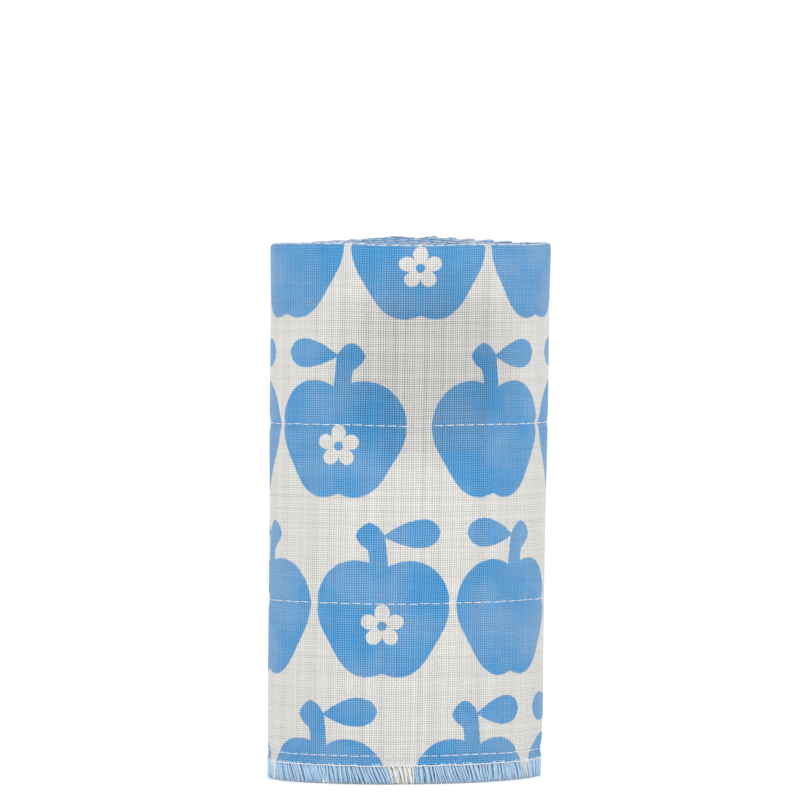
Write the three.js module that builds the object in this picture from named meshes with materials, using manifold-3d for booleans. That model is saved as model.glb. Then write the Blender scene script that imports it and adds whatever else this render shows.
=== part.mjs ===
// A cotton and hemp gauze towel, folded in half along its length and rolled up to stand on end.
// Units are millimetres and +Z is up. The origin is on the floor, under the middle of the roll.

import * as THREE from 'three';
import { mergeVertices } from 'three/addons/utils/BufferGeometryUtils.js';
import Module from 'manifold-3d';

const wasm = await Module();
wasm.setup();

// The folded cloth: two leaves joined by the fold, which is at the top of the roll.
const ROLL_HEIGHT = 169.2;
const LEAF_THICKNESS = 1.1;
const LEAF_GAP = 0.9;
const FOLD_WIDTH = 2 * LEAF_THICKNESS + LEAF_GAP;
const LEAF_OFFSET = (LEAF_GAP + LEAF_THICKNESS) / 2;
const FOLD_SEGMENTS = 2;

// The roll's outline is an oval that grows rounder towards the open eye in its middle.
const OUTER_HALF_WIDTH = 47.4;
const OUTER_HALF_DEPTH = 37.4;
const EYE_RADIUS = 4.2;
const OVAL_ANGLE = THREE.MathUtils.degToRad(20);
const TURNS = 6.8;
const OUTER_END_ANGLE = THREE.MathUtils.degToRad(62);
const ROLL_STEPS = 216;

// The loose outer end lies down on the turn beneath it.
const END_LAY = 0.9;
const END_LAY_TURNS = 0.07;

// Soft swells of the outline: how many round the roll, how deep as a share of its radius, and where.
const SWELLS = [
	{ count: 3, depth: 0.007, phase: 0.6 },
	{ count: 4, depth: 0.004, phase: 2.3 },
	{ count: 7, depth: 0.0022, phase: 4.1 },
];

// The top spreads a little to the right, its rim is uneven, and the inner turns stand higher.
const TOP_SHIFT = 2.1;
const TOP_SPREAD = 1.2;
const RIM_WAVES = [
	{ count: 1, height: 0.4, phase: 3.2 },
	{ count: 2, height: 0.3, phase: 1.1 },
	{ count: 5, height: 0.18, phase: 0.4 },
];
const INNER_RISE = 2.6;
const RISE_REACH = 0.78;

// The frayed edge: strands on a narrow strip, below the outer leaf of the outermost turn.
const PIECE_GAP = 0.3;
const FRINGE_LENGTH = 5.6;
const STRIP_HEIGHT = 3;
const STRIP_THICKNESS = 0.9;
const STRIP_STEPS = 76;
const STRAND_PITCH = 1.2;
const STRAND_WIDTH = 0.62;
const STRAND_THICKNESS = 0.5;
const STRAND_ROOT = 1;
const STRAND_LEAN = -0.3;
const STRAND_LEAN_CHANGE = 0.1;
const LEAN_WAVE = 17;
const LEAN_ROOM = 2.6;
const FRAYED_TURNS = 0.985;
const NOTCH_END = 0.5 / 261;

const UP = new THREE.Vector3(0, 0, 1);

// The middle line of the folded cloth, from the roll's outer end inwards, between two numbers of turns.
class RollPath extends THREE.Curve {
	constructor(fromTurn, toTurn) {
		super();
		this.fromTurn = fromTurn;
		this.toTurn = toTurn;
		this.arcLengthDivisions = 900;
	}

	getPoint(t, target = new THREE.Vector3()) {
		const turn = THREE.MathUtils.lerp(this.fromTurn, this.toTurn, t);
		const inward = turn / TURNS;
		const angle = OUTER_END_ANGLE + turn * 2 * Math.PI;
		const swell = 1 + SWELLS.reduce((sum, s) => sum + s.depth * Math.sin(s.count * angle + s.phase), 0);
		const lay = FOLD_WIDTH / 2 + END_LAY * Math.max(0, 1 - turn / END_LAY_TURNS) ** 2;
		const halfWidth = THREE.MathUtils.lerp(OUTER_HALF_WIDTH, EYE_RADIUS + FOLD_WIDTH, inward) - lay;
		const halfDepth = THREE.MathUtils.lerp(OUTER_HALF_DEPTH, EYE_RADIUS + FOLD_WIDTH, inward) - lay;
		target.set(halfWidth * swell * Math.cos(angle), halfDepth * swell * Math.sin(angle), 0);
		return target.applyAxisAngle(UP, OVAL_ANGLE);
	}
}

// A section carried along the path. Its x runs down from the floor's level and its y towards the eye.
function sweep(section, path, steps) {
	const options = { steps, bevelEnabled: false, extrudePath: path, curveSegments: FOLD_SEGMENTS };
	return new THREE.ExtrudeGeometry(section, options);
}

// The cloth's section: the outer leaf, the round fold over the top, and the inner leaf.
function foldedSection() {
	const bend = FOLD_WIDTH / 2;
	const hollow = LEAF_GAP / 2;
	const top = ROLL_HEIGHT - bend;
	const section = new THREE.Shape();
	section.moveTo(0, -bend);
	section.lineTo(-top, -bend);
	section.absarc(-top, 0, bend, 3 * Math.PI / 2, Math.PI / 2, true);
	section.lineTo(0, bend);
	section.lineTo(0, hollow);
	section.lineTo(-top, hollow);
	section.absarc(-top, 0, hollow, Math.PI / 2, 3 * Math.PI / 2, false);
	section.lineTo(0, -hollow);
	section.closePath();
	return section;
}

// An upright rectangle between two heights, some way out from the middle line.
function bandSection(bottom, top, innerSide, outerSide) {
	const section = new THREE.Shape();
	section.moveTo(-bottom, -outerSide);
	section.lineTo(-top, -outerSide);
	section.lineTo(-top, -innerSide);
	section.lineTo(-bottom, -innerSide);
	section.closePath();
	return section;
}

// How the finished roll sits: the top moves and spreads, the rim waves and the inner turns rise.
function settle(geometry) {
	const place = geometry.attributes.position;
	const point = new THREE.Vector3();
	for (let i = 0; i < place.count; i += 1) {
		point.fromBufferAttribute(place, i);
		const up = point.z / ROLL_HEIGHT;
		const angle = Math.atan2(point.y, point.x);
		const rim = RIM_WAVES.reduce((sum, w) => sum + w.height * Math.sin(w.count * angle + w.phase), 0);
		const ring = Math.hypot(point.x / OUTER_HALF_WIDTH, point.y / OUTER_HALF_DEPTH);
		const inside = Math.max(0, 1 - ring / RISE_REACH);
		point.x += up * (TOP_SHIFT + TOP_SPREAD * point.x / OUTER_HALF_WIDTH);
		point.z += up * rim + INNER_RISE * inside;
		place.setXYZ(i, point.x, point.y, point.z);
	}
	return geometry;
}

function toSolid(geometry) {
	const bare = geometry.clone();
	bare.deleteAttribute('normal');
	bare.deleteAttribute('uv');
	const merged = mergeVertices(bare, 1e-4);
	return new wasm.Manifold(new wasm.Mesh({
		numProp: 3,
		vertProperties: Float32Array.from(merged.attributes.position.array),
		triVerts: Uint32Array.from(merged.index.array),
	}));
}

function toGeometry(solid) {
	const mesh = solid.getMesh();
	const geometry = new THREE.BufferGeometry();
	geometry.setAttribute('position', new THREE.BufferAttribute(mesh.vertProperties, 3));
	geometry.setIndex(new THREE.BufferAttribute(mesh.triVerts, 1));
	geometry.computeVertexNormals();
	return geometry;
}

// The rolled cloth, whose outermost turn leaves room at its foot for the frayed edge.
function rollGeometry() {
	const cloth = sweep(foldedSection(), new RollPath(0, TURNS), ROLL_STEPS);
	const edgeTop = FRINGE_LENGTH + STRIP_HEIGHT + PIECE_GAP;
	const room = bandSection(-FOLD_WIDTH, edgeTop, 0, FOLD_WIDTH);
	const notch = sweep(room, new RollPath(-NOTCH_END, FRAYED_TURNS + 2 * NOTCH_END), STRIP_STEPS);
	return toGeometry(toSolid(settle(cloth)).subtract(toSolid(settle(notch))));
}

// One strand of the fringe, whose foot leans along the edge, with level ends.
function strandGeometry(path, along, lean) {
	const height = FRINGE_LENGTH + STRAND_ROOT;
	const strand = new THREE.BoxGeometry(STRAND_WIDTH, STRAND_THICKNESS, height);
	strand.translate(0, 0, height / 2);
	const shear = new THREE.Matrix4().makeShear(0, 0, 0, 0, lean, 0);
	strand.applyMatrix4(shear);
	strand.translate(-lean * FRINGE_LENGTH, -LEAF_OFFSET, 0);
	const forward = path.getTangentAt(along);
	const inward = new THREE.Vector3().crossVectors(UP, forward);
	const frame = new THREE.Matrix4().makeBasis(forward, inward, UP);
	strand.applyMatrix4(frame.setPosition(path.getPointAt(along)));
	return settle(strand);
}

// The frayed long edge: the strip with all of its strands.
function frayedEdgeGeometry() {
	const path = new RollPath(2 * NOTCH_END, FRAYED_TURNS);
	const halfStrip = STRIP_THICKNESS / 2;
	const band = bandSection(
		FRINGE_LENGTH,
		FRINGE_LENGTH + STRIP_HEIGHT,
		LEAF_OFFSET - halfStrip,
		LEAF_OFFSET + halfStrip,
	);
	const strip = toSolid(settle(sweep(band, path, STRIP_STEPS)));
	const reach = 1 - LEAN_ROOM / path.getLength();
	const count = Math.floor(path.getLength() / STRAND_PITCH) - 1;
	const strands = [];
	for (let i = 0; i < count; i += 1) {
		const lean = STRAND_LEAN + STRAND_LEAN_CHANGE * Math.sin(i * 2 * Math.PI / LEAN_WAVE);
		strands.push(toSolid(strandGeometry(path, reach * (i + 1) / (count + 1), lean)));
	}
	return toGeometry(wasm.Manifold.union([strip, ...strands]));
}

function piece(name, geometry, color, roughness) {
	const material = new THREE.MeshStandardMaterial({ color, roughness, metalness: 0 });
	const mesh = new THREE.Mesh(geometry, material);
	mesh.name = name;
	return mesh;
}

const towel = new THREE.Group();
towel.add(piece('towel_roll', rollGeometry(), 0xe6e3db, 0.9));
towel.add(piece('frayed_edge', frayedEdgeGeometry(), 0xb4cfe8, 0.9));

// The roll's box is centred over the origin.
const box = new THREE.Box3().setFromObject(towel);
const middle = box.getCenter(new THREE.Vector3());
towel.position.set(-middle.x, -middle.y, 0);

export default towel;
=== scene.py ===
"""A towel of open two-layer gauze, folded in half along its length and rolled up to stand on end."""

import logging
import math
import random
from dataclasses import dataclass, field
from enum import Enum
from typing import Callable, Sequence

import bmesh
import bpy
import numpy as np
from bmesh.types import BMesh, BMVert
from bpy.types import Material, Node, NodeSocket, NodeTree, Object
from mathutils import Matrix, Vector

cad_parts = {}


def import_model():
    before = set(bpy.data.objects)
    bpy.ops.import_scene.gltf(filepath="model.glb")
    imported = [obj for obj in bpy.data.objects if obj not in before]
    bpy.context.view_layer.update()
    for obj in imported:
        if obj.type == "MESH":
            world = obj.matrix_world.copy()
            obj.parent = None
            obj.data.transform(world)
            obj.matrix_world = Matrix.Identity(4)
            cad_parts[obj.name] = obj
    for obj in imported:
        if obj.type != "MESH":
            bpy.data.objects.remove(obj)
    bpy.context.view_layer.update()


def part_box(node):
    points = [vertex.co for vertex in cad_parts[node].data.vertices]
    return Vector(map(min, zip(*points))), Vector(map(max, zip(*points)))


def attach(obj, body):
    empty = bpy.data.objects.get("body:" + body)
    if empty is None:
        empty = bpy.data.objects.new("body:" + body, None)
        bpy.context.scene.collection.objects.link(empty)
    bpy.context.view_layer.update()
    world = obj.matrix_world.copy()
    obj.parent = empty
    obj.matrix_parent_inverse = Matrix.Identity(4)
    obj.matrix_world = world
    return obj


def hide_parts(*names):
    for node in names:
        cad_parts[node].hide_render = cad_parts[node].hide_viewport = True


Colour = tuple[float, float, float, float]

LOG = logging.getLogger("towel")
MM = 0.001
CLOTH_MAP = "cloth"
ROOT = "root"
# Where the print's first fruit lies, in millimetres from the cloth's outer end and from its fold.
PRINT_ALONG = 134.7
PRINT_BELOW_FOLD = 5.2


class Leaf(Enum):
    """Which leaf of the folded cloth something lies on, and its side of the roll's path."""

    OUTER = -1
    INNER = 1


class ThreadRow(Enum):
    """The kinds of sewn rows: how long a stitch is, its pitch and how far it swings, in metres."""

    RUNNING = (0.0031, 0.0035, 0.0001)
    OVERCAST = (0.0019, 0.0014, 0.00012)


@dataclass(frozen=True)
class Wave:
    """A soft wave.

    Args:
        count: How many times it repeats in a full turn.
        size: How far it moves a point.
        phase: Where it starts, in radians.
    """

    count: float
    size: float
    phase: float

    def at(self, angle: float) -> float:
        """Returns the wave's value at an angle in radians."""
        return self.size * math.sin(self.count * angle + self.phase)


@dataclass(frozen=True)
class Spot:
    """A place on the roll's path.

    Args:
        point: The place on the path, on the floor.
        forward: The way along the cloth.
        inward: The way to the eye of the roll.
    """

    point: Vector
    forward: Vector
    inward: Vector


@dataclass
class RollShape:
    """The spiral that the folded cloth follows, in metres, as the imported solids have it."""

    height: float = 0.1692
    fold_width: float = 0.0031
    half_width: float = 0.0474
    half_depth: float = 0.0374
    eye_radius: float = 0.0042
    oval_angle: float = math.radians(20)
    turns: float = 6.8
    outer_end_angle: float = math.radians(62)
    end_lay: float = 0.0009
    end_lay_turns: float = 0.07
    swells: tuple[Wave, ...] = (Wave(3, 0.007, 0.6), Wave(4, 0.004, 2.3), Wave(7, 0.0022, 4.1))
    rim_waves: tuple[Wave, ...] = (
        Wave(1, 0.0004, 3.2),
        Wave(2, 0.0003, 1.1),
        Wave(5, 0.00018, 0.4),
    )
    top_shift: float = 0.0021
    top_spread: float = 0.0012
    inner_rise: float = 0.0026
    rise_reach: float = 0.78
    samples: int = 6000
    tangent_step: float = 1e-4
    fitted_turns: float = 1.2
    fitted_samples: int = 1200
    centre: Vector = field(default_factory=Vector)

    def __post_init__(self) -> None:
        """Measures the path once, so that places can be found by their distance along the cloth."""
        self.turn_table = np.linspace(0, self.turns, self.samples)
        places = np.array([self.on_path(turn)[:2] for turn in self.turn_table])
        steps = np.linalg.norm(np.diff(places, axis=0), axis=1)
        self.distance_table = np.concatenate([[0], np.cumsum(steps)])

    @property
    def length(self) -> float:
        """The cloth's length."""
        return float(self.distance_table[-1])

    @property
    def first_turn_length(self) -> float:
        """How much cloth the outermost turn takes."""
        return float(np.interp(1, self.turn_table, self.distance_table))

    def on_path(self, turn: float) -> Vector:
        """Finds a place on the path.

        Args:
            turn: How many turns it lies from the outer end.

        Returns:
            The place, on the floor.
        """
        inward = turn / self.turns
        angle = self.outer_end_angle + turn * math.tau
        swell = 1 + sum(wave.at(angle) for wave in self.swells)
        eye = self.eye_radius + self.fold_width
        lay = self.fold_width / 2 + self.end_lay * max(0.0, 1 - turn / self.end_lay_turns) ** 2
        across = self.half_width + (eye - self.half_width) * inward - lay
        deep = self.half_depth + (eye - self.half_depth) * inward - lay
        place = Vector((across * swell * math.cos(angle), deep * swell * math.sin(angle), 0))
        return Matrix.Rotation(self.oval_angle, 3, "Z") @ place

    def spot(self, distance: float) -> Spot:
        """Finds a place on the path by its distance along the cloth.

        Args:
            distance: How far it lies from the outer end.

        Returns:
            The place, with the ways along and across the cloth there.
        """
        turn = float(np.interp(distance, self.distance_table, self.turn_table))
        step = self.tangent_step
        forward = (self.on_path(turn + step) - self.on_path(turn - step)).normalized()
        return Spot(self.on_path(turn), forward, Vector((-forward.y, forward.x, 0)))

    def settle(self, place: Vector) -> Vector:
        """Moves a point of the plain roll to where the settled roll has it.

        Args:
            place: A point of the plain, upright roll.

        Returns:
            The point after the top has spread, the rim has waved and the inner turns have risen.
        """
        up = place.z / self.height
        angle = math.atan2(place.y, place.x)
        rim = sum(wave.at(angle) for wave in self.rim_waves)
        ring = math.hypot(place.x / self.half_width, place.y / self.half_depth)
        inside = max(0.0, 1 - ring / self.rise_reach)
        across = place.x + up * (self.top_shift + self.top_spread * place.x / self.half_width)
        return Vector((across, place.y, place.z + up * rim + self.inner_rise * inside)) - self.centre

    def fit_to(self, low: Vector, high: Vector) -> None:
        """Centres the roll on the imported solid.

        Args:
            low: The lowest corner of the solid.
            high: Its highest corner.
        """
        faces = []
        for turn in np.linspace(0, self.fitted_turns, self.fitted_samples):
            spot = self.spot(float(np.interp(turn, self.turn_table, self.distance_table)))
            for level in (0.0, self.height - self.fold_width / 2):
                face = spot.point - spot.inward * self.fold_width / 2
                faces.append(self.settle(Vector((face.x, face.y, level))))
        middle = [(min(f[axis] for f in faces) + max(f[axis] for f in faces)) / 2 for axis in (0, 1)]
        solid = (low + high) / 2
        self.centre = Vector((middle[0] - solid.x, middle[1] - solid.y, 0))


def smooth_step(low: float, high: float, value: float) -> float:
    """Returns 0 below low, 1 above high and a smooth rise between them."""
    share = min(1.0, max(0.0, (value - low) / (high - low)))
    return share * share * (3 - 2 * share)


def new_piece(name: str, bm: BMesh, smooth: bool = True) -> Object:
    """Makes an object of a finished mesh, at the origin.

    Args:
        name: The piece's name.
        bm: Its mesh, which is freed.
        smooth: Whether its faces are shaded smooth.

    Returns:
        The new object, linked to the scene.
    """
    mesh = bpy.data.meshes.new(name)
    for face in bm.faces:
        face.smooth = smooth
    bm.to_mesh(mesh)
    bm.free()
    piece = bpy.data.objects.new(name, mesh)
    bpy.context.scene.collection.objects.link(piece)
    return piece


def srgb(red: float, green: float, blue: float) -> Colour:
    """Turns an sRGB colour into a linear one.

    Args:
        red: The red part, from 0 to 255.
        green: The green part.
        blue: The blue part.

    Returns:
        The linear colour with full alpha.
    """
    def linear(value: float) -> float:
        """Returns one channel as linear light."""
        share = value / 255
        return share / 12.92 if share <= 0.04045 else ((share + 0.055) / 1.055) ** 2.4

    return (linear(red), linear(green), linear(blue), 1.0)


def feed(tree: NodeTree, given: "Term | Colour | float | NodeSocket", socket: NodeSocket) -> None:
    """Links a result to an input, or sets a plain value on it.

    Args:
        tree: The node tree.
        given: The result, or a plain number or colour.
        socket: The input.
    """
    given = given.value if isinstance(given, Term) else given
    if isinstance(given, NodeSocket):
        tree.links.new(given, socket)
    else:
        socket.default_value = given


class Term:
    """A number in a node tree, which sums and products turn into Math nodes."""

    def __init__(self, tree: NodeTree, value: "NodeSocket | float") -> None:
        """Keeps the tree and the socket or plain number."""
        self.tree = tree
        self.value = value

    def op(self, operation: str, *others: "Term | float", clamp: bool = False) -> "Term":
        """Adds a Math node.

        Args:
            operation: The Math node's operation.
            others: The other inputs.
            clamp: Whether the result is held between 0 and 1.

        Returns:
            The node's result.
        """
        node = self.tree.nodes.new("ShaderNodeMath")
        node.operation = operation
        node.use_clamp = clamp
        for socket, given in zip(node.inputs, (self, *others)):
            feed(self.tree, given, socket)
        return Term(self.tree, node.outputs[0])

    def __add__(self, other: "Term | float") -> "Term":
        """Returns the sum."""
        return self.op("ADD", other)

    def __sub__(self, other: "Term | float") -> "Term":
        """Returns the difference."""
        return self.op("SUBTRACT", other)

    def __mul__(self, other: "Term | float") -> "Term":
        """Returns the product."""
        return self.op("MULTIPLY", other)

    def __truediv__(self, other: "Term | float") -> "Term":
        """Returns the quotient."""
        return self.op("DIVIDE", other)

    def flipped(self) -> "Term":
        """Returns one minus the number."""
        return Term(self.tree, 1.0).op("SUBTRACT", self)

    def floor(self) -> "Term":
        """Returns the whole number below."""
        return self.op("FLOOR")

    def size(self) -> "Term":
        """Returns the number without its sign."""
        return self.op("ABSOLUTE")

    def squared(self) -> "Term":
        """Returns the number times itself."""
        return self * self

    def hypot(self, other: "Term") -> "Term":
        """Returns the long side of the right triangle that has the two numbers as its sides."""
        return (self.squared() + other.squared()).op("SQRT")

    def ramp(self, low: "Term | float", high: "Term | float") -> "Term":
        """Adds a smooth Map Range node.

        Args:
            low: The number where the rise starts.
            high: The number where it ends.

        Returns:
            0 before the start, 1 past the end and a smooth rise between them.
        """
        node = self.tree.nodes.new("ShaderNodeMapRange")
        node.interpolation_type = "SMOOTHSTEP"
        for name, given in (("Value", self), ("From Min", low), ("From Max", high)):
            feed(self.tree, given, node.inputs[name])
        return Term(self.tree, node.outputs["Result"])


def new_group(name: str, inputs: dict[str, "float | None"], outputs: Sequence[str]) -> NodeTree:
    """Makes an empty shader node group.

    Args:
        name: The group's name.
        inputs: Each input's name with its usual value, or None for a vector.
        outputs: The names of its outputs, all of them numbers.

    Returns:
        The group with its input and output nodes.
    """
    tree = bpy.data.node_groups.new(name, "ShaderNodeTree")
    for label, usual in inputs.items():
        kind = "NodeSocketVector" if usual is None else "NodeSocketFloat"
        socket = tree.interface.new_socket(label, in_out="INPUT", socket_type=kind)
        if usual is not None:
            socket.default_value = usual
    for label in outputs:
        tree.interface.new_socket(label, in_out="OUTPUT", socket_type="NodeSocketFloat")
    tree.nodes.new("NodeGroupInput")
    tree.nodes.new("NodeGroupOutput")
    return tree


def group_ends(tree: NodeTree) -> tuple[Node, Node]:
    """Returns a group's input node and output node."""
    return tree.nodes["Group Input"], tree.nodes["Group Output"]


def add_group(tree: NodeTree, group: NodeTree, place: NodeSocket) -> Node:
    """Adds a node group that reads a place.

    Args:
        tree: The material's tree.
        group: The node group.
        place: The place that it reads.

    Returns:
        The group's node.
    """
    node = tree.nodes.new("ShaderNodeGroup")
    node.node_tree = group
    tree.links.new(place, node.inputs["Place"])
    return node


def parts_of(tree: NodeTree, vector: NodeSocket) -> list[Term]:
    """Splits a vector.

    Args:
        tree: The node tree.
        vector: The vector.

    Returns:
        Its three parts as numbers.
    """
    node = tree.nodes.new("ShaderNodeSeparateXYZ")
    tree.links.new(vector, node.inputs[0])
    return [Term(tree, socket) for socket in node.outputs]


def add_noise(tree: NodeTree, where: NodeSocket, scale: float, detail: float) -> Node:
    """Adds a Noise Texture that reads a vector.

    Args:
        tree: The node tree.
        where: The vector that it reads.
        scale: How fine it is.
        detail: How many finer layers it has.

    Returns:
        The texture node.
    """
    noise = tree.nodes.new("ShaderNodeTexNoise")
    noise.inputs["Scale"].default_value = scale
    noise.inputs["Detail"].default_value = detail
    tree.links.new(where, noise.inputs["Vector"])
    return noise


def blend(tree: NodeTree, low: "Colour | NodeSocket",
          high: "Colour | NodeSocket", share: Term, mode: str = "MIX") -> NodeSocket:
    """Mixes two colours.

    Args:
        tree: The material's tree.
        low: The colour at a share of 0.
        high: The colour at a share of 1.
        share: How much of the second colour shows.
        mode: The Mix node's way of blending.

    Returns:
        The mixed colour's socket.
    """
    mix = tree.nodes.new("ShaderNodeMix")
    mix.data_type = "RGBA"
    mix.blend_type = mode
    tree.links.new(share.value, mix.inputs["Factor"])
    ends = [socket for socket in mix.inputs if socket.type == "RGBA"]
    for socket, given in zip(ends, (low, high)):
        feed(tree, given, socket)
    return next(socket for socket in mix.outputs if socket.type == "RGBA")


def new_material(name: str, surface: dict[str, "float | Colour"]) -> tuple[Material, Node]:
    """Makes a material.

    Args:
        name: Its name.
        surface: What the shader's own sockets hold, by their names.

    Returns:
        The material and its shader.
    """
    material = bpy.data.materials.new(name)
    material.use_nodes = True
    shader = material.node_tree.nodes["Principled BSDF"]
    for label, value in surface.items():
        shader.inputs[label].default_value = value
    return material, shader


def add_bump(tree: NodeTree, height: NodeSocket, strength: float, depth: float) -> None:
    """Bumps a material's surface.

    Args:
        tree: The material's tree.
        height: How high the surface stands, as a number.
        strength: How much of the bump shows.
        depth: The bump's depth in metres.
    """
    bump = tree.nodes.new("ShaderNodeBump")
    bump.inputs["Strength"].default_value = strength
    bump.inputs["Distance"].default_value = depth
    tree.links.new(height, bump.inputs["Height"])
    tree.links.new(bump.outputs["Normal"], tree.nodes["Principled BSDF"].inputs["Normal"])


def cloth_places(tree: NodeTree) -> NodeSocket:
    """Reads where a point lies on the flat cloth.

    Args:
        tree: The material's tree.

    Returns:
        The place in millimetres.
    """
    where = tree.nodes.new("ShaderNodeUVMap")
    where.uv_map = CLOTH_MAP
    in_mm = tree.nodes.new("ShaderNodeVectorMath")
    in_mm.operation = "SCALE"
    in_mm.inputs["Scale"].default_value = 1 / MM
    tree.links.new(where.outputs["UV"], in_mm.inputs[0])
    return in_mm.outputs[0]


@dataclass(frozen=True)
class GauzeWeave:
    """The open plain weave, as a node group that reads cloth places in millimetres."""

    wander: float = 0.34
    wander_scale: float = 0.11
    thin: float = 0.24
    thicker: float = 0.14
    pairing: float = 0.5
    weft_seed: float = 71.3
    weft_height: float = 0.85
    warp_share: float = 0.6
    open_scale: float = 0.045
    open_range: tuple[float, float] = (0.36, 0.62)
    least_open: float = 0.5
    usual_pitch: float = 0.72

    def yarns(self, tree: NodeTree, along: Term, seed: Term) -> tuple[Term, Term, Term, Term]:
        """Lays one set of yarns.

        Args:
            tree: The group.
            along: The place across the yarns, in pitches.
            seed: A number that sets these yarns apart from others.

        Returns:
            How high the yarn stands, how open the gap beside it is, the yarn's own shade and its number.
        """
        number = along.floor()
        chance = tree.nodes.new("ShaderNodeTexWhiteNoise")
        chance.noise_dimensions = "1D"
        tree.links.new((number + seed).value, chance.inputs["W"])
        shade = Term(tree, chance.outputs["Value"])
        off = (along - number - 0.5).size()
        half = shade * self.thicker + self.thin
        height = (off / half).squared().op("SUBTRACT", 1.0).op("MULTIPLY", -1.0, clamp=True)
        return height, off.ramp(half, 0.5), shade, number

    def build(self) -> NodeTree:
        """Makes the node group.

        Returns:
            A group that gives the yarns' height and shade, the holes and the lines between yarns.
        """
        usual = self.usual_pitch
        inputs = {"Place": None, "Warp Pitch": usual, "Weft Pitch": usual, "Seed": 0.0}
        tree = new_group("gauze_weave", inputs, ("Height", "Hole", "Lines", "Shade"))
        start, end = group_ends(tree)
        noise = add_noise(tree, start.outputs["Place"], self.wander_scale, 1)
        drift = parts_of(tree, noise.outputs["Color"])
        place = parts_of(tree, start.outputs["Place"])
        seed = Term(tree, start.outputs["Seed"])
        sets = []
        for axis, label, apart in ((0, "Warp Pitch", 0.0), (1, "Weft Pitch", self.weft_seed)):
            moved = place[axis] + drift[axis] * self.wander
            sets.append(self.yarns(tree, moved / Term(tree, start.outputs[label]), seed + apart))
        (warp, warp_gap, warp_shade, _), (weft, weft_gap, weft_shade, weft_number) = sets
        spaced = (weft_number / 2).op("FRACT") * (2 * self.pairing) + (1 - self.pairing)
        weft_gap = weft_gap * spaced
        open_here = Term(tree, add_noise(tree, start.outputs["Place"], self.open_scale, 2).outputs["Fac"])
        open_here = open_here.ramp(*self.open_range) * (1 - self.least_open) + self.least_open
        results = {
            "Height": warp.op("MAXIMUM", weft * self.weft_height),
            "Hole": warp_gap * weft_gap * open_here,
            "Lines": warp_gap * 0.5 + weft_gap * 0.5,
            "Shade": warp_shade * self.warp_share + weft_shade * (1 - self.warp_share),
        }
        for label, result in results.items():
            tree.links.new(result.value, end.inputs[label])
        return tree


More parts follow.
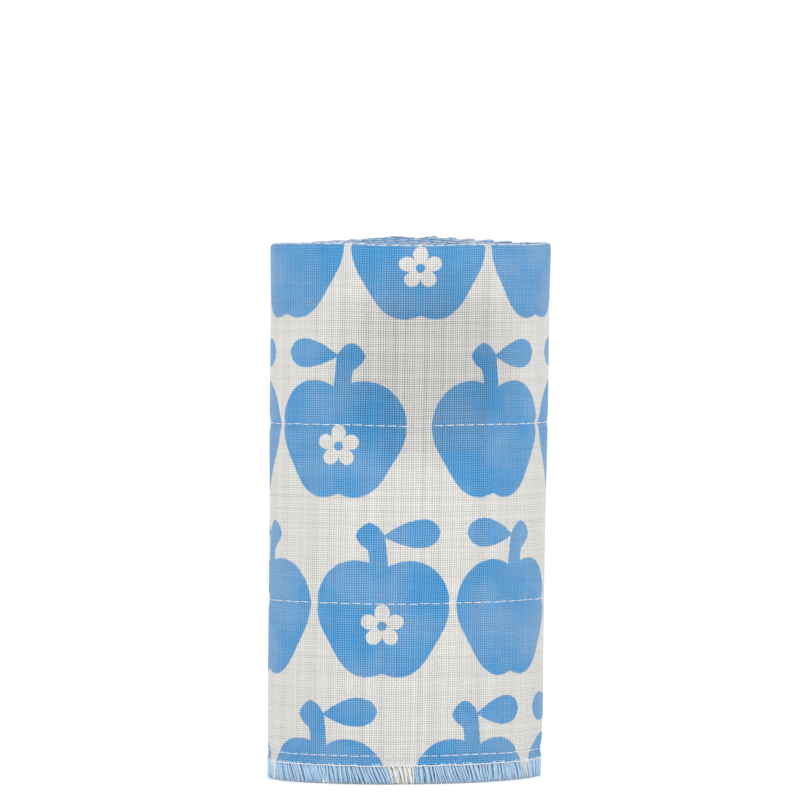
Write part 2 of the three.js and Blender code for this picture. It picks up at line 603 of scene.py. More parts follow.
@dataclass(frozen=True)
class FruitPrint:
    """The dyed repeat of plain round fruit, in rows that step sideways, as a node group.

    All sizes are in millimetres on the flat cloth. A fruit's own place is measured from its middle.
    The lobes and the stalk's head are each given by their middle and half sizes.
    """

    column_pitch: float = 43.9
    lower_column_gain: float = 2.5
    row_pitch: float = 56.1
    pair_shift: float = 10.3
    lower_shift: float = 23.5
    lower_drift: float = -5.5
    lower_apart: float = 1.4
    row_middle: float = 20.6
    upper_lobe: tuple[float, float, float, float] = (8.5, 4.0, 12.3, 14.0)
    lower_lobe: tuple[float, float, float, float] = (5.0, -2.0, 11.5, 16.5)
    lobe_blend: float = 5.0
    stalk_foot: tuple[float, float] = (0.6, 12.0)
    stalk_top: tuple[float, float] = (1.9, 24.2)
    stalk_half: float = 2.75
    stalk_head: tuple[float, float, float] = (4.0, 25.8, 4.2)
    head_roundness: float = 0.75
    stalk_blend: float = 2.0
    leaf_middle: tuple[float, float] = (-8.8, 26.4)
    leaf_half: tuple[float, float] = (8.8, 4.6)
    leaf_tilt: float = math.radians(-4)
    leaf_fullness: float = 0.93
    leaf_softness: float = 0.04
    blossom_middle: tuple[float, float] = (0.0, -2.4)
    blossom_radius: float = 2.7
    petals: int = 5
    petal_depth: float = 4.0
    petal_roundness: float = 0.55
    bud_radius: float = 1.45
    far_away: float = 80.0
    cleft_softness: float = 0.8
    soft_edge: float = 0.2

    def ellipse(self, across: Term, up: Term, lobe: tuple[float, float, float, float]) -> Term:
        """Measures an ellipse.

        Args:
            across: The place's distance to the right of the fruit's middle.
            up: Its distance above the fruit's middle.
            lobe: The ellipse's middle and half sizes.

        Returns:
            How far the place lies outside it.
        """
        left, low, wide, tall = lobe
        reach = ((across - left) / wide).hypot((up - low) / tall)
        return (reach - 1.0) * min(wide, tall)

    def stalk(self, across: Term, up: Term) -> Term:
        """Measures the stalk and its rounded head.

        Args:
            across: The place's distance to the right of the fruit's middle.
            up: Its distance above the fruit's middle.

        Returns:
            How far the place lies outside it.
        """
        (foot_x, foot_y), (top_x, top_y) = self.stalk_foot, self.stalk_top
        run, rise = top_x - foot_x, top_y - foot_y
        share = (across - foot_x) * run + (up - foot_y) * rise
        share = (share / (run * run + rise * rise)).op("ADD", 0.0, clamp=True)
        off_x = across - foot_x - share * run
        off_y = up - foot_y - share * rise
        bar = off_x.hypot(off_y) - self.stalk_half
        head_x, head_y, head = self.stalk_head
        east, north = (across - head_x).size(), (up - head_y).size()
        knob = east.hypot(north) * self.head_roundness + (east + north) * (1 - self.head_roundness) - head
        return bar.op("SMOOTH_MIN", knob, self.stalk_blend)

    def leaf(self, across: Term, up: Term) -> Term:
        """Measures the leaf, which is round at its far end.

        Args:
            across: The place's distance to the right of the fruit's middle.
            up: Its distance above the fruit's middle.

        Returns:
            How far the place lies outside it.
        """
        turn, (mid_x, mid_y), (half_long, half_wide) = self.leaf_tilt, self.leaf_middle, self.leaf_half
        east, north = across - mid_x, up - mid_y
        along = (east * math.cos(turn) + north * math.sin(turn)) / half_long
        off = (north * math.cos(turn) - east * math.sin(turn)).size()
        from_end = along + 1.0
        width = from_end / (from_end.size() + self.leaf_softness).op("SQRT") * along.flipped()
        return off - width * (self.leaf_fullness * half_wide)

    def blossom(self, across: Term, up: Term) -> Term:
        """Measures a white blossom with a dyed bud.

        Args:
            across: The place's distance to the right of the fruit's middle.
            up: Its distance above the fruit's middle.

        Returns:
            How far the place lies outside it.
        """
        mid_x, mid_y = self.blossom_middle
        east, north = across - mid_x, up - mid_y
        reach = east.hypot(north)
        round_petals = (east.op("ARCTAN2", north) * (self.petals / 2)).op("COSINE").size()
        petals = round_petals.op("POWER", self.petal_roundness) * self.petal_depth + self.blossom_radius
        bud = (reach - self.bud_radius) * -1.0
        return (reach - petals).op("MAXIMUM", bud)

    def build(self) -> NodeTree:
        """Makes the node group.

        Returns:
            A group that gives 1 where the cloth is dyed.
        """
        tree = new_group("fruit_print", {"Place": None}, ("Dye",))
        start, end = group_ends(tree)
        along, height, _ = parts_of(tree, start.outputs["Place"])
        rows = (height + self.row_middle) / self.row_pitch
        row = rows.floor()
        up = (rows - row) * self.row_pitch - self.row_middle
        pair = ((row + 1) / 2).floor()
        lower = pair * 2 - row
        shift = pair * self.pair_shift + lower * (pair * self.lower_drift + self.lower_shift)
        pitch = lower * self.lower_column_gain + self.column_pitch
        columns = (along - shift) / pitch + 0.5
        column = columns.floor()
        nudge = ((column / 2).op("FRACT") * 4 - 1.0) * lower * self.lower_apart
        kept = lower * pair.size()
        turned = ((column + kept) / (kept + 1.0)).floor()
        mirror = (turned / 2).op("FRACT") * 4 - 1.0
        across = ((columns - column - 0.5) * pitch + nudge) * mirror
        side = (across.squared() + self.cleft_softness).op("SQRT")
        body = self.ellipse(side, up, self.upper_lobe)
        body = body.op("SMOOTH_MIN", self.ellipse(side, up, self.lower_lobe), self.lobe_blend)
        fruit = body.op("MINIMUM", self.stalk(across, up)).op("MINIMUM", self.leaf(across, up))
        moved_off = ((column + row) / 2).op("FRACT") * self.far_away
        fruit = fruit.op("MAXIMUM", (self.blossom(across, up) + moved_off) * -1.0)
        tree.links.new(fruit.ramp(self.soft_edge, -self.soft_edge).value, end.inputs["Dye"])
        return tree


@dataclass(frozen=True)
class GauzeLayer:
    """One layer of the gauze: its pitches in millimetres, what sets it apart and how far it is turned."""

    warp: float
    weft: float
    seed: float
    tilt: float = 0.0


@dataclass(frozen=True)
class GauzeFinish:
    """The printed, starched gauze. Its places and sizes are in millimetres, but for the bump's depth."""

    weave: NodeTree
    pattern: NodeTree
    print_origin: tuple[float, float]
    ground: Colour = srgb(230, 228, 223)
    dye: Colour = srgb(44, 150, 214)
    # Painted shade: the holes and the gaps between yarns are darkened towards this colour, as if the
    # shaded inner turns showed through. The back layer's random yarn tone is darkened towards it too.
    shadow: Colour = srgb(62, 70, 80)
    name: str = "printed_gauze"
    front: GauzeLayer = GauzeLayer(0.73, 0.72, 3.0)
    back: GauzeLayer = GauzeLayer(0.76, 0.75, 47.0, 0.012)
    bleed: float = 0.5
    bleed_scale: float = 0.8
    uneven_scale: float = 0.06
    uneven_share: float = 0.13
    uneven_range: tuple[float, float] = (0.3, 0.7)
    shade_share: float = 0.12
    bump: float = 0.6
    bump_depth: float = 0.00025
    # Painted shade: how much the holes are darkened.
    hole_shade: float = 0.95
    hole_dip: float = 0.5
    seen_through: float = 0.7
    # Painted shade: how much the gaps between yarns are darkened.
    line_shade: float = 0.74
    yarn_depth: float = 0.12
    # Painted highlight: the front yarns' raised crowns take less dye, so they read lighter as if lit.
    crown_highlight: float = 0.2
    dye_strength: float = 0.995
    # Painted shade: a soft patch below the fold in front, darkened evenly and in its holes. These fields
    # give its middle and half sizes in millimetres from the print's origin, and how much it darkens.
    patch_place: tuple[float, float] = (3.0, -34.0)
    patch_half: tuple[float, float] = (38.0, 36.0)
    patch_hole_shade: float = 0.4
    patch_shade: float = 0.16

    def weave_node(self, tree: NodeTree, where: NodeSocket, layer: GauzeLayer) -> Node:
        """Adds one layer of the gauze.

        Args:
            tree: The material's tree.
            where: Cloth places.
            layer: The layer's pitches, seed and turn.

        Returns:
            The group node.
        """
        turn = tree.nodes.new("ShaderNodeMapping")
        turn.inputs["Rotation"].default_value = (0, 0, layer.tilt)
        turn.inputs["Location"].default_value = (layer.seed, layer.seed, 0)
        tree.links.new(where, turn.inputs["Vector"])
        node = add_group(tree, self.weave, turn.outputs["Vector"])
        node.inputs["Warp Pitch"].default_value = layer.warp
        node.inputs["Weft Pitch"].default_value = layer.weft
        node.inputs["Seed"].default_value = layer.seed
        return node

    def build(self) -> Material:
        """Makes the material.

        Returns:
            The printed gauze.
        """
        surface = {
            "Roughness": 0.88,
            "Specular IOR Level": 0.22,
            "Sheen Weight": 0.28,
            "Sheen Roughness": 0.45,
        }
        material, shader = new_material(self.name, surface)
        tree = material.node_tree
        place = cloth_places(tree)
        front = self.weave_node(tree, place, self.front)
        back = self.weave_node(tree, place, self.back)

        bleed = add_noise(tree, place, self.bleed_scale, 1)
        drift = tree.nodes.new("ShaderNodeVectorMath")
        drift.operation = "MULTIPLY_ADD"
        drift.inputs[1].default_value = (self.bleed, self.bleed, 0)
        drift.inputs[2].default_value = (*(-part - self.bleed / 2 for part in self.print_origin), 0)
        tree.links.new(bleed.outputs["Color"], drift.inputs[0])
        moved = tree.nodes.new("ShaderNodeVectorMath")
        tree.links.new(place, moved.inputs[0])
        tree.links.new(drift.outputs[0], moved.inputs[1])
        pattern = add_group(tree, self.pattern, moved.outputs[0])

        uneven = Term(tree, add_noise(tree, place, self.uneven_scale, 3).outputs["Fac"])
        uneven = uneven.ramp(*self.uneven_range)
        shade = Term(tree, front.outputs["Shade"])
        taken = uneven * self.uneven_share + shade * self.shade_share
        taken = taken + (self.dye_strength - self.uneven_share)
        # Painted highlight: less dye where the front yarns stand highest.
        taken = taken - Term(tree, front.outputs["Height"]) * self.crown_highlight
        share = (Term(tree, pattern.outputs["Dye"]) * taken).op("ADD", 0.0, clamp=True)
        dyed = blend(tree, self.ground, self.dye, share)
        # Painted shade: holes and gaps are darkened where the back layer leaves a gap too, standing in for
        # the shaded turns inside the roll.
        behind = Term(tree, back.outputs["Lines"]) * self.seen_through + (1 - self.seen_through)
        hole = Term(tree, front.outputs["Hole"]) * behind
        dark = hole * self.hole_shade + Term(tree, front.outputs["Lines"]) * self.line_shade
        # Painted shade: the patch darkens the holes more deeply and the cloth evenly.
        patch_share = self.shaded_patch(tree, moved.outputs[0])
        dark = dark * (patch_share * self.patch_hole_shade + 1.0) + patch_share * self.patch_shade
        # The back layer's yarn shade is a random tone of the yarns.
        dark = dark + Term(tree, back.outputs["Shade"]) * self.yarn_depth
        colour = blend(tree, dyed, self.shadow, dark.op("ADD", 0.0, clamp=True), "MULTIPLY")
        tree.links.new(colour, shader.inputs["Base Color"])
        height = Term(tree, front.outputs["Height"]) - hole * self.hole_dip
        add_bump(tree, height.value, self.bump, self.bump_depth)
        return material

    def shaded_patch(self, tree: NodeTree, where: NodeSocket) -> Term:
        """Finds the patch below the fold in front that is darkened with painted shade, evenly and in its
        holes.

        Args:
            tree: The material's tree.
            where: Cloth places in millimetres from the print's origin.

        Returns:
            1 at the patch's middle, falling smoothly to 0 at its edge.
        """
        places = zip(parts_of(tree, where), self.patch_place, self.patch_half)
        off = [((part - middle) / half).squared() for part, middle, half in places]
        return (off[0] + off[1]).ramp(1.0, 0.0)


@dataclass(frozen=True)
class YarnFinish:
    """Loose cotton yarn, undyed or dyed where the print reaches it. Its bump's depth is in metres."""

    pattern: "NodeTree | None" = None
    print_origin: tuple[float, float] = (0.0, 0.0)
    name: str = "frayed_yarn"
    ground: Colour = srgb(244, 244, 240)
    dye: Colour = srgb(163, 204, 238)
    fibre_scale: float = 2600.0
    worn_tone: float = 0.8
    worn_range: tuple[float, float] = (0.25, 0.75)
    dye_least: float = 0.6
    dye_gain: float = 0.35
    bump: float = 0.4
    bump_depth: float = 0.0001

    def build(self) -> Material:
        """Makes the material.

        Returns:
            The loose yarn.
        """
        surface = {"Roughness": 0.92, "Specular IOR Level": 0.2, "Sheen Weight": 0.2}
        material, shader = new_material(self.name, surface)
        tree = material.node_tree
        spot = tree.nodes.new("ShaderNodeTexCoord")
        fibre = add_noise(tree, spot.outputs["Object"], self.fibre_scale, 3)
        worn = Term(tree, fibre.outputs["Fac"]).ramp(*self.worn_range)
        darker = tuple(self.worn_tone * channel for channel in self.ground[:3]) + (1.0,)
        undyed = blend(tree, darker, self.ground, worn)
        if self.pattern is None:
            tree.links.new(undyed, shader.inputs["Base Color"])
        else:
            moved = tree.nodes.new("ShaderNodeVectorMath")
            moved.inputs[1].default_value = (*(-part for part in self.print_origin), 0)
            tree.links.new(cloth_places(tree), moved.inputs[0])
            pattern = add_group(tree, self.pattern, moved.outputs[0])
            taken = Term(tree, pattern.outputs["Dye"]) * (worn * self.dye_gain + self.dye_least)
            tree.links.new(blend(tree, undyed, self.dye, taken), shader.inputs["Base Color"])
        add_bump(tree, fibre.outputs["Fac"], self.bump, self.bump_depth)
        return material


@dataclass(frozen=True)
class FloorFinish:
    """The plain pale floor and backdrop."""

    colour: Colour = srgb(250, 250, 250)
    glow: float = 0.19

    def build(self) -> Material:
        """Makes the material.

        Returns:
            The floor's plain finish.
        """
        surface = {
            "Base Color": self.colour,
            "Roughness": 0.7,
            "Emission Color": self.colour,
            "Emission Strength": self.glow,
        }
        return new_material("pale_floor", surface)[0]


@dataclass
class FoldedCloth:
    """The cloth itself: one thin sheet, folded in half and rolled up."""

    roll: RollShape
    thickness: float = 0.0007
    edge_level: float = 0.0057
    stitch_levels: tuple[float, ...] = (0.1125, 0.0567, 0.0089)
    trough_depth: float = 0.0004
    trough_half: float = 0.0016
    trough_rows: int = 9
    trough_reach: float = 2.2
    clear_reach: float = 2.6
    edge_margin: float = 0.0004
    pucker: Wave = Wave(1 / 0.0105, 0.5, 2.1)
    hem: float = 0.005
    hem_rise: float = 0.00035
    hem_slope: float = 0.0012
    outer_step: float = 0.0019
    inner_step: float = 0.0036
    fold_rows: int = 8
    fold_margin: float = 0.001
    plain_row: float = 0.0048
    fine_after: float = 0.02
    billow: float = 0.00028
    billow_shares: tuple[float, float, float] = (0.55, 0.3, 0.15)
    billow_long: float = 0.0185
    billow_high: float = 0.042
    billow_foot: float = 0.02
    billow_top: float = 0.155

    @property
    def leaf_offset(self) -> float:
        """How far each leaf's middle lies from the path."""
        return (self.roll.fold_width - self.thickness) / 2

    @property
    def fold_level(self) -> float:
        """The level where the fold's bend starts."""
        return self.roll.height - self.roll.fold_width / 2

    @property
    def leaf_height(self) -> float:
        """How much of the cloth's width one leaf takes, up to the bend."""
        return self.fold_level - self.edge_level

    @property
    def fold_length(self) -> float:
        """How much of the cloth's width the bend takes."""
        return math.pi * self.leaf_offset

    @property
    def width(self) -> float:
        """The cloth's width between its cut edges."""
        return 2 * self.leaf_height + self.fold_length

    def rows(self) -> list[float]:
        """Lays out the mesh's rows across the cloth, closer at the sewn rows.

        Returns:
            Their distances from the outer leaf's cut edge.
        """
        count = 2 + round(self.leaf_height / self.plain_row)
        levels = set(np.linspace(self.edge_level, self.fold_level, count))
        for level in self.stitch_levels:
            near = np.linspace(-self.trough_reach, self.trough_reach, self.trough_rows) * self.trough_half
            levels = {x for x in levels if abs(x - level) > self.clear_reach * self.trough_half}
            levels |= {level + x for x in near if level + x > self.edge_level + self.edge_margin}
        levels |= {self.edge_level}
        outer = sorted(x - self.edge_level for x in levels)
        bend = [self.leaf_height + self.fold_length * i / self.fold_rows for i in range(1, self.fold_rows)]
        return outer + bend + [self.width - x for x in reversed(outer)]

    def columns(self) -> list[float]:
        """Lays out the mesh's columns along the cloth, closer on the outermost turn.

        Returns:
            Their distances from the cloth's outer end.
        """
        shown = self.roll.first_turn_length + self.fine_after
        first = np.linspace(0, shown, round(shown / self.outer_step))
        rest = np.linspace(shown, self.roll.length, round((self.roll.length - shown) / self.inner_step))
        return list(first) + list(rest[1:])

    def leaf_level(self, across: float) -> tuple[float, float]:
        """Finds a place of the cloth's width in the folded section.

        Args:
            across: The distance from the outer leaf's cut edge.

        Returns:
            The level above the floor, and how far inward of the path the place lies.
        """
        if across <= self.leaf_height:
            return self.edge_level + across, -self.leaf_offset
        if across < self.leaf_height + self.fold_length:
            bend = (across - self.leaf_height) / self.leaf_offset
            return self.fold_level + self.leaf_offset * math.sin(bend), -self.leaf_offset * math.cos(bend)
        return self.edge_level + self.width - across, self.leaf_offset

    def crease(self, distance: float, level: float) -> float:
        """Works out the creases at the sewn rows and the hem.

        Args:
            distance: How far the place lies from the outer end.
            level: Its level above the floor.

        Returns:
            How far they move the cloth inward.
        """
        depth = 0.0
        for number, sewn in enumerate(self.stitch_levels):
            off = (level - sewn) / self.trough_half
            phase = self.pucker.count * distance * math.tau + number * self.pucker.phase
            puckered = 1 + self.pucker.size * math.sin(phase)
            depth += self.trough_depth * math.exp(-off * off) * puckered
        return depth - self.hem_rise * (1 - smooth_step(self.hem, self.hem + self.hem_slope, distance))

    def slack(self, distance: float, level: float) -> float:
        """Works out the starched cloth's soft swells between its sewn rows.

        Args:
            distance: How far the place lies from the outer end.
            level: Its level above the floor.

        Returns:
            How far they move the cloth inward.
        """
        along = distance / self.billow_long
        up = level / self.billow_high
        wide, middling, small = self.billow_shares
        swing = wide * math.sin(along + 1.7 * math.sin(up * 1.3)) * math.sin(up * 2.1 + 0.6)
        swing += middling * math.sin(along * 2.3 + 2.0 + up) * math.cos(up * 1.7 + along * 0.21)
        swing += small * math.sin(along * 5.1 + up * 3.3)
        free = smooth_step(self.edge_level, self.billow_foot, level)
        free *= 1 - smooth_step(self.billow_top, self.fold_level, level)
        return self.billow * swing * free

    def place(self, distance: float, across: float, lift: float = 0.0) -> Vector:
        """Finds a place of the flat cloth on the roll.

        Args:
            distance: How far it lies from the outer end, along the cloth.
            across: How far it lies from the outer leaf's cut edge, across the cloth.
            lift: How far it stands off the cloth's middle, outward on the outer leaf.

        Returns:
            The point on the rolled cloth.
        """
        spot = self.roll.spot(distance)
        level, inward = self.leaf_level(across)
        side = inward / self.leaf_offset
        bend = 1 - smooth_step(self.fold_level - self.fold_margin, self.fold_level, level)
        inward += (self.crease(distance, level) + self.slack(distance, level)) * bend
        inward += lift * side
        rise = lift * math.sqrt(max(0.0, 1 - side * side))
        point = spot.point + spot.inward * inward
        return self.roll.settle(Vector((point.x, point.y, level + rise)))

    def build(self, material: Material) -> Object:
        """Makes the cloth.

        Args:
            material: The printed gauze.

        Returns:
            The cloth, with its thickness applied.
        """
        rows, columns = self.rows(), self.columns()
        bm = bmesh.new()
        bmesh.ops.create_grid(bm, x_segments=len(columns) - 1, y_segments=len(rows) - 1, size=0.5)
        flat_map = bm.loops.layers.uv.new(CLOTH_MAP)
        flat_places = {}
        for vert in bm.verts:
            column = round((vert.co.x + 0.5) * (len(columns) - 1))
            row = round((vert.co.y + 0.5) * (len(rows) - 1))
            flat_places[vert.index] = (columns[column], rows[row])
            vert.co = self.place(columns[column], rows[row])
        for face in bm.faces:
            for loop in face.loops:
                loop[flat_map].uv = flat_places[loop.vert.index]
        piece = new_piece("gauze_cloth", bm)
        piece.data.materials.append(material)
        wall = piece.modifiers.new("thickness", "SOLIDIFY")
        wall.thickness = self.thickness
        wall.offset = 0
        wall.use_even_offset = False
        return piece


@dataclass
class SewnRow:
    """A row of small stitches, each a slim bead of thread that lies on the cloth."""

    cloth: FoldedCloth
    kind: ThreadRow
    thread: float = 0.00031
    start: float = 0.006
    unevenness: float = 0.06
    standing: float = 0.3

    @property
    def lift(self) -> float:
        """How far the thread's middle stands off the cloth's middle."""
        return self.cloth.thickness / 2 + self.thread * self.standing

    def stitch(self, bm: BMesh, place: Callable[[float], Vector], distance: float) -> None:
        """Adds one stitch.

        Args:
            bm: The mesh of the row.
            place: Where the row runs, by distance along it.
            distance: Where the stitch's middle lies.
        """
        long = self.kind.value[0]
        before, middle, after = (place(distance + step * long / 2) for step in (-1, 0, 1))
        forward = (after - before).normalized()
        turned = forward.to_track_quat("X", "Z").to_matrix().to_4x4()
        made = bmesh.ops.create_icosphere(bm, subdivisions=1, radius=self.thread / 2)["verts"]
        for vert in made:
            vert.co.x += math.copysign(long / 2 - self.thread / 2, vert.co.x)
        bmesh.ops.transform(bm, verts=made, matrix=Matrix.Translation(middle) @ turned)

    def along(self, bm: BMesh, across: float, until: float, seed: int) -> None:
        """Sews along the cloth.

        Args:
            bm: The mesh of the row.
            across: The row's place across the cloth's width.
            until: Where the row ends, as a distance from the cloth's outer end.
            seed: What sets this row's small swings apart.
        """
        chance = random.Random(seed)
        pitch, swing = self.kind.value[1:]
        for number in range(int((until - self.start) / pitch)):
            drift = chance.uniform(-swing, swing)
            uneven = chance.uniform(-self.unevenness, self.unevenness)
            middle = self.start + pitch * (number + 0.5 + uneven)
            self.stitch(bm, lambda d, off=drift: self.cloth.place(d, across + off, self.lift), middle)

    def upright(self, bm: BMesh, distance: float, seed: int) -> None:
        """Sews up the outer leaf, beside the cloth's short end.

        Args:
            bm: The mesh of the row.
            distance: The row's distance from the cloth's outer end.
            seed: What sets this row's small swings apart.
        """
        chance = random.Random(seed)
        pitch, swing = self.kind.value[1:]
        for number in range(int(self.cloth.leaf_height / pitch)):
            drift = chance.uniform(-swing, swing)
            middle = pitch * (number + 0.5)
            self.stitch(bm, lambda a, off=drift: self.cloth.place(distance + off, a, self.lift), middle)


@dataclass
class Stitching:
    """All of the sewing that shows: rows along the cloth, the fold, the hem and the overcast edge."""

    cloth: FoldedCloth
    hem_inset: float = 0.0038
    fold_row: float = 0.0012
    past_turn: float = 0.004
    overcast_thread: float = 0.00042
    overcast_start: float = 0.001
    overcast_row: float = 0.0002
    fold_seed: int = 11
    hem_seed: int = 12
    overcast_seed: int = 21

    def build(self, material: Material) -> list[Object]:
        """Makes the sewn rows.

        Args:
            material: The thread.

        Returns:
            One piece for the running stitches and one for the overcast edge.
        """
        cloth = self.cloth
        shown = cloth.roll.first_turn_length + self.past_turn
        running = SewnRow(cloth, ThreadRow.RUNNING)
        rows = bmesh.new()
        for number, level in enumerate(cloth.stitch_levels):
            running.along(rows, level - cloth.edge_level, shown, number)
        fold_end = cloth.roll.length - self.past_turn
        running.along(rows, cloth.leaf_height + self.fold_row, fold_end, self.fold_seed)
        running.upright(rows, self.hem_inset, self.hem_seed)
        edge = bmesh.new()
        overcast = SewnRow(cloth, ThreadRow.OVERCAST, self.overcast_thread, self.overcast_start)
        overcast.along(edge, self.overcast_row, shown, self.overcast_seed)
        pieces = [new_piece("running_stitches", rows), new_piece("overcast_edge", edge)]
        for piece in pieces:
            piece.data.materials.append(material)
        return pieces


@dataclass
class Fringe:
    """The frayed yarn ends below both cut edges, which reach the floor."""

    cloth: FoldedCloth
    pitch: float = 0.00092
    radius: float = 0.00036
    hidden_radius: float = 0.00045
    radius_range: tuple[float, float] = (0.8, 1.2)
    taper: float = 0.7
    sides: int = 5
    hidden_sides: int = 4
    bend_cuts: int = 3
    layer_gap: float = 0.00052
    layers: int = 3
    lean: float = -0.3
    lean_swing: float = 0.13
    lean_wave: float = 0.0041
    lean_chance: float = 0.11
    bend: float = 0.00045
    out_chance: float = 0.00018
    foot_chance: float = 0.0006
    floor_gap: float = 0.00012
    cover: float = 0.0009
    end_gap: float = 0.001
    placing: tuple[float, float] = (0.3, 0.7)
    seed: int = 5

    def strand(self, leaf: Leaf, distance: float, chance: random.Random, fine: bool,
               behind: float = 0.0) -> BMesh:
        """Makes one yarn end.

        Args:
            leaf: The leaf whose edge it hangs from.
            distance: Where it starts, along the cloth.
            chance: The source of its small differences.
            fine: Whether it has the rings for a bend, as the ones that show have.
            behind: How far inward of the leaf's middle it hangs.

        Returns:
            The strand, in its place on the roll.
        """
        spot = self.cloth.roll.spot(distance)
        top = self.cloth.edge_level + self.cover
        foot = self.floor_gap + chance.uniform(0, self.foot_chance)
        lean = self.lean + self.lean_swing * math.sin(distance / self.lean_wave)
        lean += chance.uniform(-self.lean_chance, self.lean_chance)
        bow = self.bend * chance.uniform(-1, 1)
        out = self.cloth.leaf_offset * leaf.value + behind
        out += chance.uniform(-self.out_chance, self.out_chance)
        radius = (self.radius if fine else self.hidden_radius) * chance.uniform(*self.radius_range)
        bm = bmesh.new()
        flat_map = bm.loops.layers.uv.new(CLOTH_MAP)
        sides = self.sides if fine else self.hidden_sides
        bmesh.ops.create_cone(
            bm, cap_ends=True, segments=sides, radius1=radius * self.taper, radius2=radius, depth=1
        )
        if fine:
            uprights = [edge for edge in bm.edges if abs(edge.verts[0].co.z - edge.verts[1].co.z) > 0.5]
            bmesh.ops.subdivide_edges(bm, edges=uprights, cuts=self.bend_cuts)
        for vert in bm.verts:
            share = vert.co.z + 0.5
            level = foot + (top - foot) * share
            along = vert.co.x - lean * (top - level) + bow * math.sin(share * math.pi)
            place = spot.point + spot.forward * along + spot.inward * (out + vert.co.y)
            place = self.cloth.roll.settle(Vector((place.x, place.y, level)))
            vert.co = Vector((place.x, place.y, max(place.z, self.floor_gap)))
            edge_place = 0.0 if leaf is Leaf.OUTER else self.cloth.width
            below = (level - top) * (1 if leaf is Leaf.OUTER else -1)
            for loop in vert.link_loops:
                loop[flat_map].uv = (distance, edge_place + below)
        return bm

    def build(self, material: Material) -> Object:
        """Makes the fringe.

        Args:
            material: The loose yarn.

        Returns:
            One piece with all of the yarn ends.
        """
        chance = random.Random(self.seed)
        bm = bmesh.new()
        carrier = bpy.data.meshes.new("strand")
        shown = self.cloth.roll.first_turn_length
        for leaf in Leaf:
            for number in range(int((self.cloth.roll.length - 2 * self.end_gap) / self.pitch)):
                distance = self.end_gap + self.pitch * (number + chance.uniform(*self.placing))
                fine = leaf is Leaf.OUTER and distance < shown
                strands = [self.strand(leaf, distance, chance, fine)]
                for layer in range(1, self.layers if fine else 1):
                    between = distance + self.pitch * 0.5 * layer
                    strands.append(self.strand(leaf, between, chance, False, self.layer_gap * layer))
                for strand in strands:
                    strand.to_mesh(carrier)
                    strand.free()
                    bm.from_mesh(carrier)
        bpy.data.meshes.remove(carrier)
        piece = new_piece("fringe_yarns", bm)
        piece.data.materials.append(material)
        return piece


@dataclass(frozen=True)
class SoftLight:
    """A square soft light that faces the towel: its name, place, side and power in watts."""

    name: str
    place: tuple[float, float, float]
    size: float
    power: float


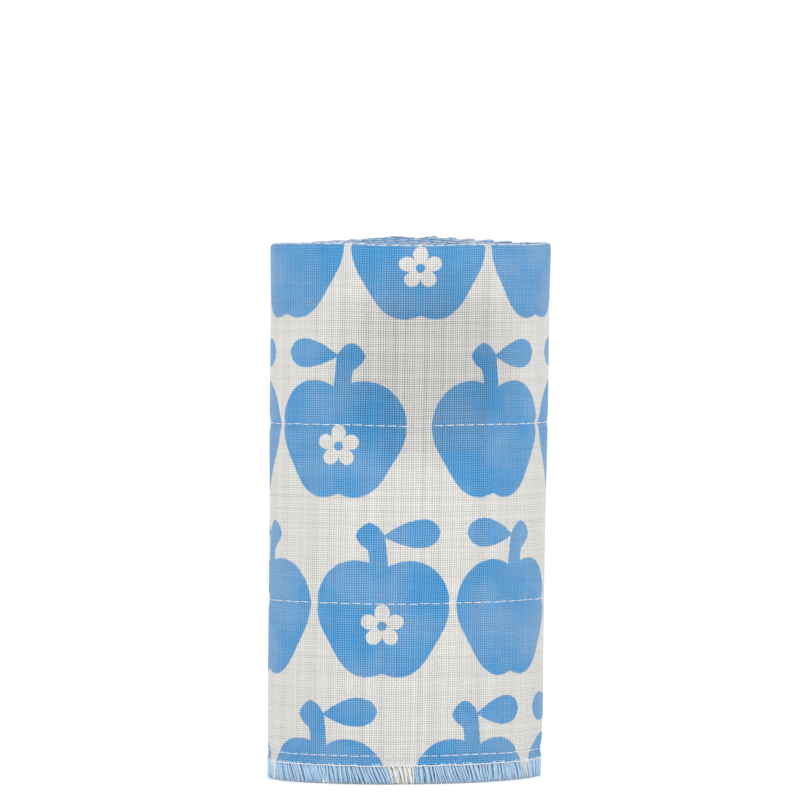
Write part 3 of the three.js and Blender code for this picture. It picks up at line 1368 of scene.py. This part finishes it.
@dataclass
class Studio:
    """The floor, the lights and the camera."""

    front: float
    soft_lights: tuple[SoftLight, ...] = (
        SoftLight("key", (-0.75, -1.25, 1.05), 1.0, 6),
        SoftLight("fill", (1.2, -0.95, 0.55), 1.1, 3.2),
        SoftLight("top", (0.1, 0.25, 1.6), 1.2, 6),
    )
    lit_level: float = 0.09
    room_light: float = 0.8
    floor_half: float = 3.6
    sweep_radius: float = 0.5
    sweep_steps: int = 16
    wall_height: float = 2.4
    eye_level: float = 0.2
    eye_distance: float = 2.6
    eye_side: float = -0.003
    target_level: float = 0.1207
    lens: float = 373.9

    def floor(self) -> None:
        """Makes the floor, which curves up into the backdrop."""
        bm = bmesh.new()
        rail = [bm.verts.new((-self.floor_half, y, 0)) for y in (-self.floor_half, self.floor_half)]
        bm.edges.new(rail)
        bend = bmesh.ops.spin(
            bm, geom=[rail[1]], cent=(-self.floor_half, self.floor_half, self.sweep_radius),
            axis=(1, 0, 0), angle=math.pi / 2, steps=self.sweep_steps,
        )["geom_last"]
        last = next(g for g in bend if isinstance(g, BMVert))
        top = bmesh.ops.extrude_vert_indiv(bm, verts=[last])["verts"]
        bmesh.ops.translate(bm, verts=top, vec=(0, 0, self.wall_height))
        wide = bmesh.ops.extrude_edge_only(bm, edges=list(bm.edges))["geom"]
        moved = [g for g in wide if isinstance(g, BMVert)]
        bmesh.ops.translate(bm, verts=moved, vec=(2 * self.floor_half, 0, 0))
        bmesh.ops.recalc_face_normals(bm, faces=bm.faces)
        piece = new_piece("floor", bm)
        piece.data.materials.append(FloorFinish().build())

    def lights(self) -> None:
        """Adds the soft lights and the even light all round."""
        for light in self.soft_lights:
            lamp = bpy.data.lights.new(light.name, "AREA")
            lamp.size = light.size
            lamp.energy = light.power
            holder = bpy.data.objects.new(light.name, lamp)
            holder.location = light.place
            aim = Vector((0, 0, self.lit_level)) - Vector(light.place)
            holder.rotation_euler = aim.to_track_quat("-Z", "Y").to_euler()
            bpy.context.scene.collection.objects.link(holder)
        world = bpy.data.worlds.new("soft_room")
        world.use_nodes = True
        room = world.node_tree.nodes["Background"]
        room.inputs["Color"].default_value = (1, 1, 1, 1)
        room.inputs["Strength"].default_value = self.room_light
        bpy.context.scene.world = world
        bpy.context.scene.view_settings.view_transform = "Standard"

    def camera(self) -> None:
        """Adds the camera at the photo's viewing angle."""
        data = bpy.data.cameras.new("camera")
        data.lens = self.lens
        data.clip_start = 0.01
        holder = bpy.data.objects.new("camera", data)
        place = Vector((self.eye_side, self.front - self.eye_distance, self.eye_level))
        target = Vector((self.eye_side, self.front, self.target_level))
        holder.location = place
        holder.rotation_euler = (target - place).to_track_quat("-Z", "Y").to_euler()
        bpy.context.scene.collection.objects.link(holder)
        bpy.context.scene.camera = holder


def ride_and_slot(piece: Object, slot: str, *nodes: str) -> None:
    """Puts a piece on the body and hides the solids that it stands for.

    Args:
        piece: The finished piece.
        slot: The record's material slot, which is not used.
        nodes: The solids that it replaces.
    """
    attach(piece, ROOT)
    if nodes:
        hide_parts(*nodes)
    LOG.info("%s: %d faces", piece.name, len(piece.data.polygons))


def main() -> None:
    """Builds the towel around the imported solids, then the studio."""
    logging.basicConfig(level=logging.INFO, format="%(name)s: %(message)s")
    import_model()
    low, high = (Vector(corner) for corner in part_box("towel_roll"))

    studio = Studio(front=low.y)
    studio.camera()
    studio.floor()
    studio.lights()

    roll = RollShape()
    roll.fit_to(low, high)
    cloth = FoldedCloth(roll)
    print_origin = (PRINT_ALONG, (cloth.leaf_height + cloth.fold_length / 2) / MM - PRINT_BELOW_FOLD)
    weave, pattern = GauzeWeave().build(), FruitPrint().build()
    gauze = GauzeFinish(weave, pattern, print_origin).build()
    yarn = YarnFinish(pattern, print_origin).build()
    thread = YarnFinish(name="sewing_thread", ground=srgb(244, 246, 248)).build()

    sheet = cloth.build(gauze)
    ride_and_slot(sheet, "printed_gauze", "towel_roll")
    fringe = Fringe(cloth).build(yarn)
    ride_and_slot(fringe, "frayed_yarn", "frayed_edge")
    sewing = Stitching(cloth).build(thread)
    for piece in sewing:
        ride_and_slot(piece, "frayed_yarn")
    cloth.width
    LOG.info("flat cloth %.4f by %.4f m", cloth.width, roll.length)


if __name__ == "__main__":
    main()
